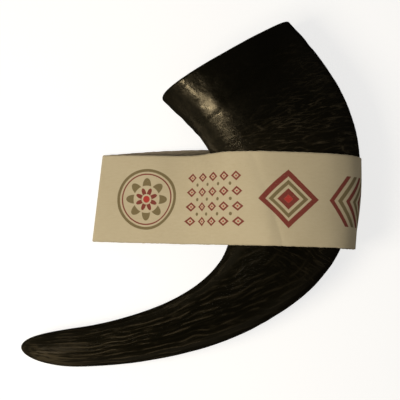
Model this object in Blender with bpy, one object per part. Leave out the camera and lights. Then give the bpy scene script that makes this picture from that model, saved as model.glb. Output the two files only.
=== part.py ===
"""A buffalo horn lying on its side, sawn off at the base, with a paper sleeve round its middle.

The horn is one grown piece: a tapering sheath that curls through half a turn, hollow at the
sawn end where the bone core sat and solid towards the tip. The sleeve is one strip of card,
lapped and glued into a loop. Both lie on the plane z = 0.

Sizes are in millimetres and the model is in metres. Plan positions are laid out from a working
point inside the curl, and the origin is then moved to the bottom centre of the object's box.
"""

from math import cos, exp, pi, radians, sin, tan

import bmesh
import bpy
import numpy as np
from mathutils import Vector

MM = 0.001

# ---- the horn ---------------------------------------------------------------------------
HORN_LENGTH = 228.0          # along the curled middle line, sawn face to tip
BASE_MIDDLE = (11.6, 64.6)   # plan position of the middle of the sawn face
SAW_DIRECTION = 121.4        # degrees, the plan direction that the sawn face looks in
NOSE_LENGTH = 28.0           # the stretch before the tip that rounds off

# Growth stations along the middle line: distance from the sawn face, heading in degrees,
# half width in the plane of the curl, thickness, and height of the underside off the table.
STATIONS = (
    (0.0, -44.0, 33.0, 33.4, 0.0),
    (20.0, -51.5, 32.9, 34.2, 0.0),
    (40.0, -65.0, 32.8, 34.6, 0.7),
    (60.0, -83.0, 31.0, 34.0, 1.5),
    (80.0, -100.5, 27.6, 32.0, 1.6),
    (100.0, -120.5, 22.8, 29.0, 1.1),
    (120.0, -138.5, 17.4, 24.8, 0.1),
    (140.0, -153.0, 14.1, 21.6, 0.0),
    (160.0, -162.5, 11.9, 19.2, 0.2),
    (180.0, -169.0, 10.3, 17.2, 0.6),
    (200.0, -175.0, 8.9, 15.4, 1.3),
    (228.0, -186.0, 8.2, 13.8, 2.4),
)

# Cross-section: a rounded block near the base that turns into an oval at the tip.
EQUATOR_AT_BASE = 0.40       # height of the widest line, as a share of the thickness
EQUATOR_AT_TIP = 0.50
SQUARENESS_UPPER = 2.4       # superellipse exponents at the base
SQUARENESS_UNDER = 3.4
SQUARENESS_TIP = 2.1
CREST_LEAN = 0.30            # how much fuller the upper face is on the inside of the curl
CREST_FADE = 30.0            # the distance along the horn over which that lean dies away
KEEL_LEAN = 0.05             # how much fuller the underside is on the outside of the curl

# ---- the hollow that the bone core leaves -----------------------------------------------
HOLLOW_DEPTH = 80.0
HOLLOW_TAPER = 1.7           # a larger number keeps the hollow wide for longer
HOLLOW_SQUARENESS = 2.3
RIM_WALL_SIDE = 5.8          # wall at the sawn face, inside and outside of the curl
RIM_WALL_FACE = 5.2          # wall at the sawn face, top and bottom

# ---- the paper sleeve -------------------------------------------------------------------
CARD = 0.3                   # thickness of the card
SLEEVE_HEIGHT = 40.6         # width of the strip, which lies along the horn
LAP_START = 18.0             # where the glued lap begins, on the underside
LAP = 12.0
FOLD_RADIUS = 0.75
FOLD_Y = 22.2                # plan position of the fold's base-side end
FRONT_SKEW = -1.8            # degrees that the upper layer turns towards the tip side
BACK_RISE = 4.3              # how far the under layer strays towards the base
BULGE = 0.9                  # how far the horn pushes the sleeve's outer edge out
BULGE_REACH = 20.0           # how far in from that edge the push is felt
BULGE_SHARE = 0.8            # the share of the strip, from the base side, that bulges

# The loop, from the fold along the table, round the outside of the curl and back over the
# horn: x and z at the edge nearer the base, then x and z at the edge nearer the tip.
SLEEVE_PATH = (
    (-44.5, 0.15, -49.1, 0.15),
    (5.0, 0.15, 3.0, 0.15),
    (50.0, 0.15, 47.5, 0.15),
    (60.0, 1.0, 59.0, 1.0),
    (69.0, 4.6, 66.4, 4.8),
    (73.0, 13.5, 69.2, 12.5),
    (72.2, 21.5, 69.2, 21.0),
    (67.8, 29.0, 65.6, 28.6),
    (59.5, 34.0, 59.0, 33.4),
    (48.0, 36.6, 48.0, 35.6),
    (38.0, 37.2, 38.0, 36.0),
    (30.0, 37.0, 33.5, 35.7),
    (24.5, 36.4, 29.5, 34.9),
    (21.0, 35.4, 25.5, 33.2),
    (17.5, 33.9, 20.5, 30.6),
    (12.0, 31.0, 12.0, 25.0),
    (5.2, 22.8, 4.0, 18.6),
    (-0.6, 13.0, -2.5, 13.6),
    (-2.8, 10.4, -6.0, 11.9),
    (-6.0, 8.9, -11.0, 10.2),
    (-20.0, 6.8, -22.0, 6.8),
    (-30.0, 4.6, -31.0, 4.1),
    (-34.5, 3.6, -35.5, 3.2),
    (-43.6, 1.85, -48.2, 1.85),
)

# ---- mesh fineness ----------------------------------------------------------------------
RING_SIDES = 40
RING_STEP = 5.0
OVERRUN = 12.5               # how far the skins run past the saw cut before it trims them
NOSE_RINGS = 9
HOLLOW_SIDES = 28
HOLLOW_RINGS = 15
SLEEVE_STEP = 4.0
SLEEVE_ROWS = 6
FOLD_STEPS = 6
LAP_EDGE = 0.15              # length of the step up at each end of the lap
LAP_CLEAR = 1.2              # nearest that another ring of points comes to that step


def clear_scene():
    for item in list(bpy.data.objects):
        bpy.data.objects.remove(item, do_unlink=True)


def curve_through(knots, values, at):
    """A smooth curve through points at uneven spacing, read at one or more places."""
    knots, values, at = np.asarray(knots), np.asarray(values), np.atleast_1d(at)
    slopes = np.gradient(values, knots, axis=0)
    low = np.clip(np.searchsorted(knots, at, side="right") - 1, 0, len(knots) - 2)
    span = (knots[low + 1] - knots[low])[:, None]
    t = ((at - knots[low])[:, None]) / span
    first = values[low] * (2 * t**3 - 3 * t**2 + 1) + slopes[low] * span * (t**3 - 2 * t**2 + t)
    second = values[low + 1] * (3 * t**2 - 2 * t**3) + slopes[low + 1] * span * (t**3 - t**2)
    return first + second


# ---- the horn's middle line and cross-sections ------------------------------------------
def station(s):
    """Heading in radians, half width, thickness and lift at a distance s along the horn."""
    table = np.array(STATIONS)
    heading, half, thick, lift = curve_through(table[:, 0], table[:, 1:], max(s, 0.0))[0]
    return radians(heading), half, thick, lift


def middle_line(step=0.5):
    """Distances along the middle line and the plan position at each of them."""
    marks = np.arange(-OVERRUN - step, HORN_LENGTH + step, step)
    headings = np.array([station(s)[0] for s in marks + step / 2])
    moves = step * np.stack((np.cos(headings), np.sin(headings)), axis=1)
    points = np.vstack(((0.0, 0.0), np.cumsum(moves, axis=0)[:-1]))
    return marks, points - plan_place((marks, points), 0.0) + BASE_MIDDLE


def plan_place(line, s):
    """The plan position at a distance s along the middle line."""
    marks, points = line
    return np.array([np.interp(s, marks, points[:, axis]) for axis in (0, 1)])


def superellipse(angle, half_width, half_height, squareness):
    power = 2.0 / squareness
    across = half_width * abs(cos(angle)) ** power * (1 if cos(angle) >= 0 else -1)
    up = half_height * abs(sin(angle)) ** power * (1 if sin(angle) >= 0 else -1)
    return across, up


def horn_section(s, angle):
    """A point of the horn's skin: across, towards the outside of the curl, and height."""
    _, half, thick, lift = station(s)
    age = min(max(s, 0.0) / HORN_LENGTH, 1.0)
    nose = max(0.0, 1.0 - (HORN_LENGTH - s) / NOSE_LENGTH)
    rounding = (1.0 - nose**2) ** 0.5
    equator = EQUATOR_AT_BASE + (EQUATOR_AT_TIP - EQUATOR_AT_BASE) * age
    upper = sin(angle) >= 0
    squareness = SQUARENESS_UPPER if upper else SQUARENESS_UNDER
    squareness += (SQUARENESS_TIP - squareness) * age
    depth = thick * ((1 - equator) if upper else equator)
    across, up = superellipse(angle, half * rounding, depth * rounding, squareness)
    side = across / (half * rounding)
    lean = -CREST_LEAN * exp(-max(s, 0.0) / CREST_FADE) if upper else KEEL_LEAN * (1 - age)
    return across, lift + thick * equator + up * (1 + lean * side)


def hollow_section(s, angle):
    """The same for the hollow, which shrinks to nothing at its deep end."""
    _, half, thick, lift = station(s)
    shrink = (1.0 - min(max(s, 0.0) / HOLLOW_DEPTH, 1.0) ** HOLLOW_TAPER) ** 0.5
    half_height = (thick / 2 - RIM_WALL_FACE) * shrink
    across, up = superellipse(angle, (half - RIM_WALL_SIDE) * shrink, half_height, HOLLOW_SQUARENESS)
    return across, lift + thick / 2 + up


def ring(line, section, s, sides):
    """One closed ring of points round the middle line, in millimetres."""
    heading = station(s)[0]
    centre = plan_place(line, s)
    outward = (-sin(heading), cos(heading))
    places = []
    for k in range(sides):
        across, height = section(s, 2 * pi * k / sides)
        places.append((centre[0] + outward[0] * across, centre[1] + outward[1] * across, height))
    return places


# ---- skins ------------------------------------------------------------------------------
def extrude_ring(bm, loop, places):
    """Extrudes a closed loop of vertices to new places and returns the new loop in order."""
    edges = [bm.edges.get((a, b)) for a, b in zip(loop, loop[1:] + loop[:1])]
    made = bmesh.ops.extrude_edge_only(bm, edges=edges)["geom"]
    fresh = {item for item in made if isinstance(item, bmesh.types.BMVert)}
    following = []
    for vert, place in zip(loop, places):
        partner = next(e.other_vert(vert) for e in vert.link_edges if e.other_vert(vert) in fresh)
        partner.co = Vector(place) * MM
        following.append(partner)
    return following


def first_ring(bm, places):
    made = bmesh.ops.create_circle(bm, cap_ends=False, radius=1.0, segments=len(places))["verts"]
    for vert, place in zip(made, places):
        vert.co = Vector(place) * MM
    return made


def tapering_skin(bm, rings, pole):
    """A skin through a list of rings that closes on a single point at its far end."""
    loop = first_ring(bm, rings[0])
    for places in rings[1:]:
        loop = extrude_ring(bm, loop, places)
    loop = extrude_ring(bm, loop, [pole] * len(loop))
    bmesh.ops.pointmerge(bm, verts=loop, merge_co=Vector(pole) * MM)


def horn_distances():
    even = list(np.arange(-OVERRUN, HORN_LENGTH - NOSE_LENGTH, RING_STEP))
    turns = np.linspace(pi / 2, 0.0, NOSE_RINGS + 1)[:-1]
    return even + [HORN_LENGTH - NOSE_LENGTH * (1 - cos(t)) for t in turns]


def hollow_distances():
    share = np.linspace(0.0, 1.0, HOLLOW_RINGS + 1)[1:-1]
    return [-OVERRUN] + list(HOLLOW_DEPTH * (1 - (1 - share) ** 2))


def saw_off(bm):
    """Trims both skins with the flat saw cut and closes the rim between them."""
    direction = radians(SAW_DIRECTION)
    normal = Vector((cos(direction), sin(direction), 0.0))
    everything = bm.verts[:] + bm.edges[:] + bm.faces[:]
    centre = Vector((*BASE_MIDDLE, 0.0)) * MM
    bmesh.ops.bisect_plane(bm, geom=everything, plane_co=centre, plane_no=normal, clear_outer=True)
    rim = [edge for edge in bm.edges if edge.is_boundary]
    bmesh.ops.triangle_fill(bm, use_beauty=True, edges=rim, normal=normal)


def middle_point(line, s, share):
    """A point over the middle line, at a share of the thickness there."""
    _, _, thick, lift = station(s)
    return (*plan_place(line, s), lift + thick * share)


def horn_mesh():
    line = middle_line()
    bm = bmesh.new()
    skin = [ring(line, horn_section, s, RING_SIDES) for s in horn_distances()]
    tapering_skin(bm, skin, middle_point(line, HORN_LENGTH, EQUATOR_AT_TIP))
    hollow = [ring(line, hollow_section, s, HOLLOW_SIDES) for s in hollow_distances()]
    tapering_skin(bm, hollow, middle_point(line, HOLLOW_DEPTH, 0.5))
    saw_off(bm)
    return bm


# ---- the paper sleeve -------------------------------------------------------------------
def sleeve_rows():
    """The card's middle surface: one closed loop of points for each row across the strip."""
    table = np.array(SLEEVE_PATH)
    steps = np.hypot(*np.diff(table[:, :2], axis=0).T)
    knots = np.concatenate(([0.0], np.cumsum(steps)))
    marks = lap_marks(np.linspace(0.0, knots[-1], round(knots[-1] / SLEEVE_STEP)))
    nose_mark = knots[np.argmax(table[:, 0])]
    rows = []
    for share in np.linspace(0.0, 1.0, SLEEVE_ROWS + 1):
        path = table[:, :2] * (1 - share) + table[:, 2:] * share
        outermost = path[:, 0].max()
        push = np.clip((path[:, 0] - outermost + BULGE_REACH) / BULGE_REACH, 0.0, 1.0)
        path[:, 0] += BULGE * sin(pi * min(share / BULGE_SHARE, 1.0)) * push
        points = curve_through(knots, path, marks)
        points[:, 1] = np.maximum(points[:, 1], CARD / 2)
        fold = fold_arc(points[0])
        loop = np.vstack((points, fold))
        under = np.concatenate((marks < nose_mark, [False] * len(fold)))
        rows.append(with_plan_depth(loop, under, share))
    return marks, rows


def lap_marks(marks):
    """Adds a close pair of marks at each end of the lap, where the card doubles."""
    ends = np.array([LAP_START, LAP_START + LAP]) - SLEEVE_PATH[0][0]
    kept = [mark for mark in marks if min(abs(mark - ends)) > LAP_CLEAR]
    steps = [end + side for end in ends for side in (-LAP_EDGE / 2, LAP_EDGE / 2)]
    return np.array(sorted(kept + steps))


def fold_arc(first):
    """The fold, a half turn from the upper layer down to the table."""
    centre = np.array([first[0] - CARD, CARD / 2 + FOLD_RADIUS])
    turns = np.linspace(pi / 2, 3 * pi / 2, FOLD_STEPS)
    return centre + FOLD_RADIUS * np.stack((np.cos(turns), np.sin(turns)), axis=1)


def with_plan_depth(loop, under, share):
    """Places a row across the strip: x, y, z of each point of its loop."""
    fold_x, outermost = loop[:, 0].min(), loop[:, 0].max()
    along = loop[:, 0] - fold_x
    depth = FOLD_Y - SLEEVE_HEIGHT * share + along * tan(radians(FRONT_SKEW))
    depth += under * BACK_RISE * np.sin(pi * along / (outermost - fold_x))
    return np.stack((loop[:, 0], depth, loop[:, 1]), axis=1)


def sleeve_mesh():
    marks, rows = sleeve_rows()
    lap_from = LAP_START - SLEEVE_PATH[0][0]
    count = len(rows[0])
    thickness = np.full(count, CARD)
    thickness[: len(marks)][(marks > lap_from) & (marks < lap_from + LAP)] = 2 * CARD
    rings = []
    for k in range(count):
        outer, inner = [], []
        for row in rows:
            ahead, behind = row[(k + 1) % count], row[k - 1]
            inward = Vector((behind[2] - ahead[2], 0.0, ahead[0] - behind[0])).normalized()
            outer.append(Vector(row[k]) - inward * CARD / 2)
            inner.append(outer[-1] + inward * thickness[k])
        rings.append(outer + inner[::-1])
    bm = bmesh.new()
    start = loop = first_ring(bm, rings[0])
    for places in rings[1:] + rings[:1]:
        loop = extrude_ring(bm, loop, places)
    bmesh.ops.weld_verts(bm, targetmap=dict(zip(loop, start)))
    return bm


# ---- materials and objects --------------------------------------------------------------
def material(name, colour, roughness):
    made = bpy.data.materials.new(name)
    made.use_nodes = True
    shader = made.node_tree.nodes["Principled BSDF"]
    shader.inputs["Base Color"].default_value = (*colour, 1.0)
    shader.inputs["Roughness"].default_value = roughness
    shader.inputs["Metallic"].default_value = 0.0
    return made


def horn_material():
    return material("dark horn", colour=(0.012, 0.009, 0.006), roughness=0.38)


def card_material():
    return material("buff card", colour=(0.52, 0.42, 0.26), roughness=0.75)


def finished_object(name, bm, finish, crease_angle):
    """Makes an object of a finished mesh, smooth but for edges sharper than the angle."""
    bmesh.ops.recalc_face_normals(bm, faces=bm.faces[:])
    mesh = bpy.data.meshes.new(name)
    bm.to_mesh(mesh)
    bm.free()
    mesh.materials.append(finish)
    mesh.shade_smooth()
    mesh.set_sharp_from_angle(angle=radians(crease_angle))
    made = bpy.data.objects.new(name, mesh)
    bpy.context.scene.collection.objects.link(made)
    return made


def centre_on_origin(pieces):
    """Moves the pieces so that the origin is the bottom centre of the box round them all."""
    corners = np.array([corner for piece in pieces for corner in piece.bound_box])
    low, high = corners.min(axis=0), corners.max(axis=0)
    shift = Vector((*((low + high) / 2)[:2], low[2]))
    for piece in pieces:
        piece.location = -shift


def main():
    clear_scene()
    horn = finished_object("horn", horn_mesh(), horn_material(), crease_angle=50)
    sleeve = finished_object("paper_band", sleeve_mesh(), card_material(), crease_angle=60)
    centre_on_origin([horn, sleeve])


main()
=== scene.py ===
"""A buffalo horn lying on its side, with a printed card sleeve round its middle.

The horn is one skin wrapped round a curled middle line: tip, outside, sawn rim and hollow. The
sleeve is one strip of card that runs round the horn and folds back on itself beside it. Both
follow the frame's pieces, and add the lumps, growth lines, saw marks, folds, wear and print.
"""

from math import cos, pi, radians, tan

import bmesh
import bpy
import numpy as np
from bpy.props import FloatProperty, FloatVectorProperty, PointerProperty
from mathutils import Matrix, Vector, noise


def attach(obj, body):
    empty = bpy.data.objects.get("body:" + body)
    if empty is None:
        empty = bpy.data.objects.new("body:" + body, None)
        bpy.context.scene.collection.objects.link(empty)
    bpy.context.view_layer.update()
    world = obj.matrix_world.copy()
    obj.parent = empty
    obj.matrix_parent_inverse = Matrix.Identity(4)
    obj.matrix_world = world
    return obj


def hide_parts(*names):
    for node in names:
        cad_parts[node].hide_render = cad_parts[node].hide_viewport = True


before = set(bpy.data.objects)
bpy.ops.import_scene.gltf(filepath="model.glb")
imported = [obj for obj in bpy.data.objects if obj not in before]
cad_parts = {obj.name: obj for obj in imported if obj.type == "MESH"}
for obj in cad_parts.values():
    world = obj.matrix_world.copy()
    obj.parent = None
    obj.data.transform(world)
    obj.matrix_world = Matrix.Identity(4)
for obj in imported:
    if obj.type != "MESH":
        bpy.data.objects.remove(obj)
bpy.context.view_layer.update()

bl_info = {
    "name": "Buffalo Horn",
    "version": (1, 0, 0),
    "blender": (4, 5, 0),
    "location": "View3D > Sidebar > Horn",
    "description": "Builds a sawn buffalo horn with a printed card sleeve, and a small studio",
    "category": "Object",
}

MM = 0.001
WORKING_POINT = np.array((3.9785, -3.5388, 0.1610))   # mm, where the plan's zero lies in the frame

# ---- the horn, in millimetres -----------------------------------------------------------
HORN_LENGTH = 228.0
BASE_MIDDLE = (11.6, 64.6)
SAW_DIRECTION = 121.4        # degrees, the plan direction that the sawn face looks in
NOSE_LENGTH = 28.0           # of the rounded tip
OVERRUN = 14.0               # how far past the saw cut the middle line is laid out

# Distance from the sawn face, heading in degrees, half width, thickness, height of the underside.
STATIONS = np.array((
    (0.0, -44.0, 33.0, 33.4, 0.0),
    (20.0, -51.5, 32.9, 34.2, 0.0),
    (40.0, -65.0, 32.8, 34.6, 0.7),
    (60.0, -83.0, 31.0, 34.0, 1.5),
    (80.0, -100.5, 27.6, 32.0, 1.6),
    (100.0, -120.5, 22.8, 29.0, 1.1),
    (120.0, -138.5, 17.4, 24.8, 0.1),
    (140.0, -153.0, 14.1, 21.6, 0.0),
    (160.0, -162.5, 11.9, 19.2, 0.2),
    (180.0, -169.0, 10.3, 17.2, 0.6),
    (200.0, -175.0, 8.9, 15.4, 1.3),
    (228.0, -186.0, 8.2, 13.8, 2.4),
))
EQUATOR_AT_BASE = 0.40       # share of the thickness that lies below the widest line
EQUATOR_AT_TIP = 0.50
SQUARENESS_UPPER = 2.4
SQUARENESS_UNDER = 3.4
SQUARENESS_TIP = 2.1
CREST_LEAN = 0.30            # how far the crest leans to the inside of the curl at the base
CREST_FADE = (16.0, 62.0)    # where the crest settles to the middle
KEEL_LEAN = 0.05             # how much fuller the underside is on the outside of the curl

HOLLOW_DEPTH = 80.0
HOLLOW_TAPER = 1.7           # the higher, the longer the hollow stays wide
HOLLOW_SQUARENESS = 2.3
RIM_WALL_SIDE = 5.8          # the wall at the rim, on the two sides
RIM_WALL_FACE = 5.2          # the wall at the rim, above and below

SIDES = 224                  # columns of the wrapped grid
NOSE_ROWS = 26               # rows round the tip
SKIN_STEP = 0.70             # spacing of the rows along the outside, at most
EDGE_ROWS = 4                # rows round each worn edge of the rim
RIM_ROWS = 7                 # rows across the flat sawn face
HOLLOW_ROWS = 46
CUT_FADE = 60.0              # how far from the cut the rows still lean with it
CUT_HALVINGS = 40            # steps of the search for where a line meets the saw cut
GRID_HALF = 0.5              # half the side of the plain grid that is laid onto the rows

NOISE_REACH = 1.8            # brings the noise to about -1 to 1
# The sizes of the noise that shapes the skin are across the horn, up, and along it.
LUMP_SIZE = (17.0, 17.0, 24.0)
DENT_SIZE = (5.0, 5.0, 6.0)
GROOVE_AT = 19.3             # one deeper growth groove round the base
GROOVE_REACH = 1.9           # how far it reaches to each side
NARROWING = (76.0, 118.0)    # where rings across the horn give way to strands along it
RING_SIZE = (15.0, 15.0, 1.7)
RING_RISE = (16.0, 44.0)     # where the rings grow higher
RING_SKEW_AT = (20.0, 56.0)
RING_SKEW = (-0.50, -0.10)   # there, how much nearer the tip the rings lie outside the curl
RING_SWAY = 0.6              # how far the rings wander along the horn
RING_EDGE = 0.17             # how far a ring reaches, in the value that is zero on its crest
STRAND_PAIRS = 14            # half the number of strands round the horn
STRAND_EDGE = 0.75           # how far a strand reaches, in the value that is zero on its crest
STRAND_SWAY = 1.5            # radians of the strands' wave that they wander either way
STRAND_KINK = 0.7            # the same for their short kinks
FINE_EDGE = 0.045            # how far the finest lines reach, in the same way
SWAY_SIZE = (12.0, 12.0, 12.0)
KINK_SIZE = (5.0, 5.0, 9.0)
TWIST = 1.2                  # radians that the fibres wind round the horn
TWIST_FROM, TWIST_TO = 78.0, 152.0    # distances from the cut between which they do
TRUE_SPACING = 14.0          # half width of the horn where the fibres are at their true spacing
SPREADING = 0.6              # how much the fibres spread where the horn is wider
PIT_SIZE = (2.6, 2.6, 14.0)
PIT_DEPTH = 0.16             # height of the ridges in the hollow's wall
HOLLOW_LUMP_SIZE = (6.0, 6.0, 9.0)
HOLLOW_LUMPS = 0.30          # height of the lumps in the hollow's wall
LAYER_WAVES = 46.0           # radians of growth layers from the outside of the rim to its inside
LAYER_WANDER = 9.0           # radians that the layers wander

# ---- the sleeve, in millimetres ---------------------------------------------------------
CARD = 0.3
SLEEVE_HEIGHT = 40.6
LAP_START = 18.0             # x where the upper layer of the lap starts
LAP = 12.0
LAP_GAP = 0.04               # air and glue between the two layers of the lap
LAP_RAMP = 5.0               # how soon the upper layer settles past the lap's end
FOLD_RADIUS = 0.75
FOLD_Y = 22.2                # y of the end fold's corner nearer the base
FRONT_SKEW = -1.8            # degrees that the strip slants in the plan
BACK_RISE = 4.3              # how far the layer on the table bows towards the base
BULGE = 0.9                  # how far the card bulges beside the horn, outside the curl
BULGE_REACH = 20.0           # how far in from there the bulge starts
BULGE_SHARE = 0.8            # share of the strip's width that bulges

# x and z at the edge nearer the base, then at the edge nearer the tip, all round the loop.
SLEEVE_PATH = np.array((
    (-44.5, 0.15, -49.1, 0.15),
    (5.0, 0.15, 3.0, 0.15),
    (50.0, 0.15, 47.5, 0.15),
    (60.0, 1.0, 59.0, 1.0),
    (69.0, 4.6, 66.4, 4.8),
    (73.0, 13.5, 69.2, 12.5),
    (72.2, 21.5, 69.2, 21.0),
    (67.8, 29.0, 65.6, 28.6),
    (59.5, 34.0, 59.0, 33.4),
    (48.0, 36.6, 48.0, 35.6),
    (38.0, 37.2, 38.0, 36.0),
    (30.0, 37.0, 33.5, 35.7),
    (24.5, 36.4, 29.5, 34.9),
    (21.0, 35.4, 25.5, 33.2),
    (17.5, 33.9, 20.5, 30.6),
    (12.0, 31.0, 12.0, 25.0),
    (5.2, 22.8, 4.0, 18.6),
    (-0.6, 13.0, -2.5, 13.6),
    (-2.8, 10.4, -6.0, 11.9),
    (-6.0, 8.9, -11.0, 10.2),
    (-20.0, 6.8, -22.0, 6.8),
    (-30.0, 4.6, -31.0, 4.1),
    (-34.5, 3.6, -35.5, 3.2),
    (-43.6, 1.85, -48.2, 1.85),
))
# Folds pressed into the card: distance from its end fold at the edge nearer the tip, then at the
# edge nearer the base, and height.
CREASES = ((16.9, 16.0, 0.12), (61.2, 45.9, -0.45), (93.7, 83.4, 0.60))
CREASE_REACH = 4.0           # how far a fold's slopes reach
WAVE_SIZE = (15.0, 21.0, 1.0)
OFF_TABLE = (0.8, 5.0)       # heights over which the waves and folds come in
FRAY = 0.10                  # how far the cut edges waver
FRAY_SIZE = (1.6, 1.6, 1.0)
INK_EDGE = 0.10              # over which a printed edge softens
INK_WANDER = 0.16            # how far a printed edge wanders, from one side to the other
MEDALLION_AT = 24.0          # these four are distances from the end fold
ROWS_FROM = 42.5
GREAT_LOZENGE_AT = 97.0
CHEVRONS_FROM = 114.0
SLEEVE_STEP = 0.9            # spacing of the points along the strip, nearly
SLEEVE_ROWS = 44             # rows of faces across it
FOLD_STEPS = 14              # points round the end fold

# ---- the studio, in metres --------------------------------------------------------------
CAMERA_PLACE = (0.003979, -0.032789, 0.440161)
CAMERA_TARGET = (0.003979, -0.003539, 0.018161)
CAMERA_LENS = 84.60          # mm
CAMERA_SENSOR = 36.0         # mm
FLOOR_RADIUS = 6.0
KEY_PLACE = (-0.185, -0.09, 0.28)
KEY_SIZE = 0.16
KEY_TINT = (1.0, 0.91, 0.75)
GLINT_PLACE = (-0.19, -0.055, 0.25)
GLINT_TARGET = (0.0055, 0.0402, 0.033)    # the shine on the inner shoulder at the base
GLINT_RADIUS = 0.015
GLINT_SPREAD = 8.4           # degrees
GLINT_TINT = (1.0, 0.78, 0.44)
BACK_PLACE = (-0.30, 0.55, 0.22)
SIDE_PLACE = (0.50, 0.02, 0.17)
BACK_SIZE = 0.30             # of the lamps behind and at the side
BACK_TINT = (1.0, 0.93, 0.82)
LAMP_TARGET = (0.0, 0.0, 0.02)


# ---- settings that a user would change --------------------------------------------------
def length(label, about, millimetres):
    """A setting for a small length."""
    return FloatProperty(
        name=label, description=about, default=millimetres * MM, unit="LENGTH", precision=5
    )


def colour(label, about, value):
    """A setting for a colour."""
    return FloatVectorProperty(
        name=label, description=about, default=value, subtype="COLOR", min=0.0, max=1.0
    )


class HornSettings(bpy.types.PropertyGroup):
    """Relief and colours of the horn."""

    lump_height: length("Lumps", "Height of the broad lumps of the horn", 0.22)
    dent_height: length("Dents", "Height of the small uneven dents", 0.13)
    groove_depth: length("Groove", "Depth of the growth groove near the base", 0.24)
    ring_height: length("Rings", "Height of the growth lines across the horn", 0.06)
    strand_height: length("Strands", "Height of the ridges along the narrow part", 0.07)
    edge_wear: length("Edge wear", "Radius of the worn edge of the saw cut", 0.9)
    black: colour("Black", "The dense polished horn", (0.0036, 0.0032, 0.0017))
    brown: colour("Brown", "The inside of the curl and the tip", (0.0110, 0.0090, 0.0046))
    # Tan is also the colour of the pale patch at the tip, which is partly a painted highlight.
    tan: colour("Tan", "The pale worn crests of the lines", (0.047, 0.037, 0.021))
    cut: colour("Cut", "The sawn face", (0.110, 0.090, 0.064))
    hollow: colour("Hollow", "The wall where the bone core sat", (0.190, 0.140, 0.085))


class SleeveSettings(bpy.types.PropertyGroup):
    """Shape and colours of the sleeve."""

    ripple: length("Ripple", "Height of the card's slight waves", 0.24)
    corner_wear: length("Corner wear", "Radius of the worn corners at the fold", 1.5)
    card: colour("Card", "The printed side of the card", (0.57, 0.50, 0.354))
    inside: colour("Inside", "The plain side of the card", (0.44, 0.37, 0.28))
    dark_red: colour("Dark red", "The main ink", (0.198, 0.0184, 0.016))
    bright_red: colour("Bright red", "The second ink", (0.44, 0.0157, 0.018))
    taupe: colour("Taupe", "The third ink", (0.180, 0.138, 0.062))


class StudioSettings(bpy.types.PropertyGroup):
    """The floor and the lights."""

    floor: colour("Floor", "The pale floor", (0.40, 0.40, 0.40))
    floor_glow: FloatProperty(
        name="Floor glow", description="Evens the floor out to a pale tone", default=0.74
    )
    key_watts: FloatProperty(name="Key", description="Power of the soft lamp", default=0.88)
    glint_watts: FloatProperty(
        name="Glint", description="Power of the narrow lamp that only shows as a shine", default=2.1
    )
    fill: FloatProperty(name="Fill", description="Strength of the light all round", default=0.17)
    fill_tint: colour("Fill tint", "Colour of the light all round", (1.0, 0.95, 0.86))
    rim_glow: FloatProperty(
        name="Rim glow", description="What the dark horn mirrors near the horizon", default=0.13
    )
    rim_tint: colour("Rim tint", "Colour of that glow", (1.0, 0.85, 0.58))
    back_watts: FloatProperty(name="Back", description="Power of the lamp behind", default=0.6)
    side_watts: FloatProperty(
        name="Side", description="Power of the lamp outside the curl", default=0.16
    )


# ---- curves and sections ----------------------------------------------------------------
def smooth_step(values, low, high):
    """0 up to low and 1 from high, with a smooth rise between them."""
    share = np.clip((np.asarray(values, float) - low) / (high - low), 0.0, 1.0)
    return share * share * (3.0 - 2.0 * share)


def curve_through(knots, values, at):
    """A smooth curve through points at uneven spacing, read at many places."""
    slopes = np.gradient(values, knots, axis=0)
    low = np.clip(np.searchsorted(knots, at, side="right") - 1, 0, len(knots) - 2)
    span = (knots[low + 1] - knots[low])[:, None]
    t = (at - knots[low])[:, None] / span
    first = values[low] * (2 * t**3 - 3 * t**2 + 1) + slopes[low] * span * (t**3 - 2 * t**2 + t)
    second = values[low + 1] * (3 * t**2 - 2 * t**3) + slopes[low + 1] * span * (t**3 - t**2)
    return first + second


def station(s):
    """Heading in radians, half width, thickness and lift at distances s along the horn."""
    found = curve_through(STATIONS[:, 0], STATIONS[:, 1:], np.maximum(s, 0.0)).T
    return np.radians(found[0]), found[1], found[2], found[3]


def middle_line(step=0.5):
    """Distances along the horn, and the places of its middle in the plan."""
    marks = np.arange(-OVERRUN - step, HORN_LENGTH + step, step)
    headings = station(marks + step / 2)[0]
    moves = step * np.stack((np.cos(headings), np.sin(headings)), axis=1)
    points = np.vstack(((0.0, 0.0), np.cumsum(moves, axis=0)[:-1]))
    base = [np.interp(0.0, marks, points[:, axis]) for axis in (0, 1)]
    return marks, points - base + BASE_MIDDLE


MIDDLE_LINE = middle_line()


def place(s, across, height):
    """Points of the frame, in millimetres, from places in the straightened horn."""
    marks, points = MIDDLE_LINE
    heading = station(s)[0]
    x = np.interp(s, marks, points[:, 0]) - np.sin(heading) * across
    y = np.interp(s, marks, points[:, 1]) + np.cos(heading) * across
    return np.stack((x, y, height), axis=1) + WORKING_POINT


def superellipse(angle, half_width, half_height, squareness):
    """Across and up on an oval, which is squarer for a higher squareness."""
    power = 2.0 / squareness
    across = half_width * np.sign(np.cos(angle)) * np.abs(np.cos(angle)) ** power
    up = half_height * np.sign(np.sin(angle)) * np.abs(np.sin(angle)) ** power
    return across, up


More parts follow.
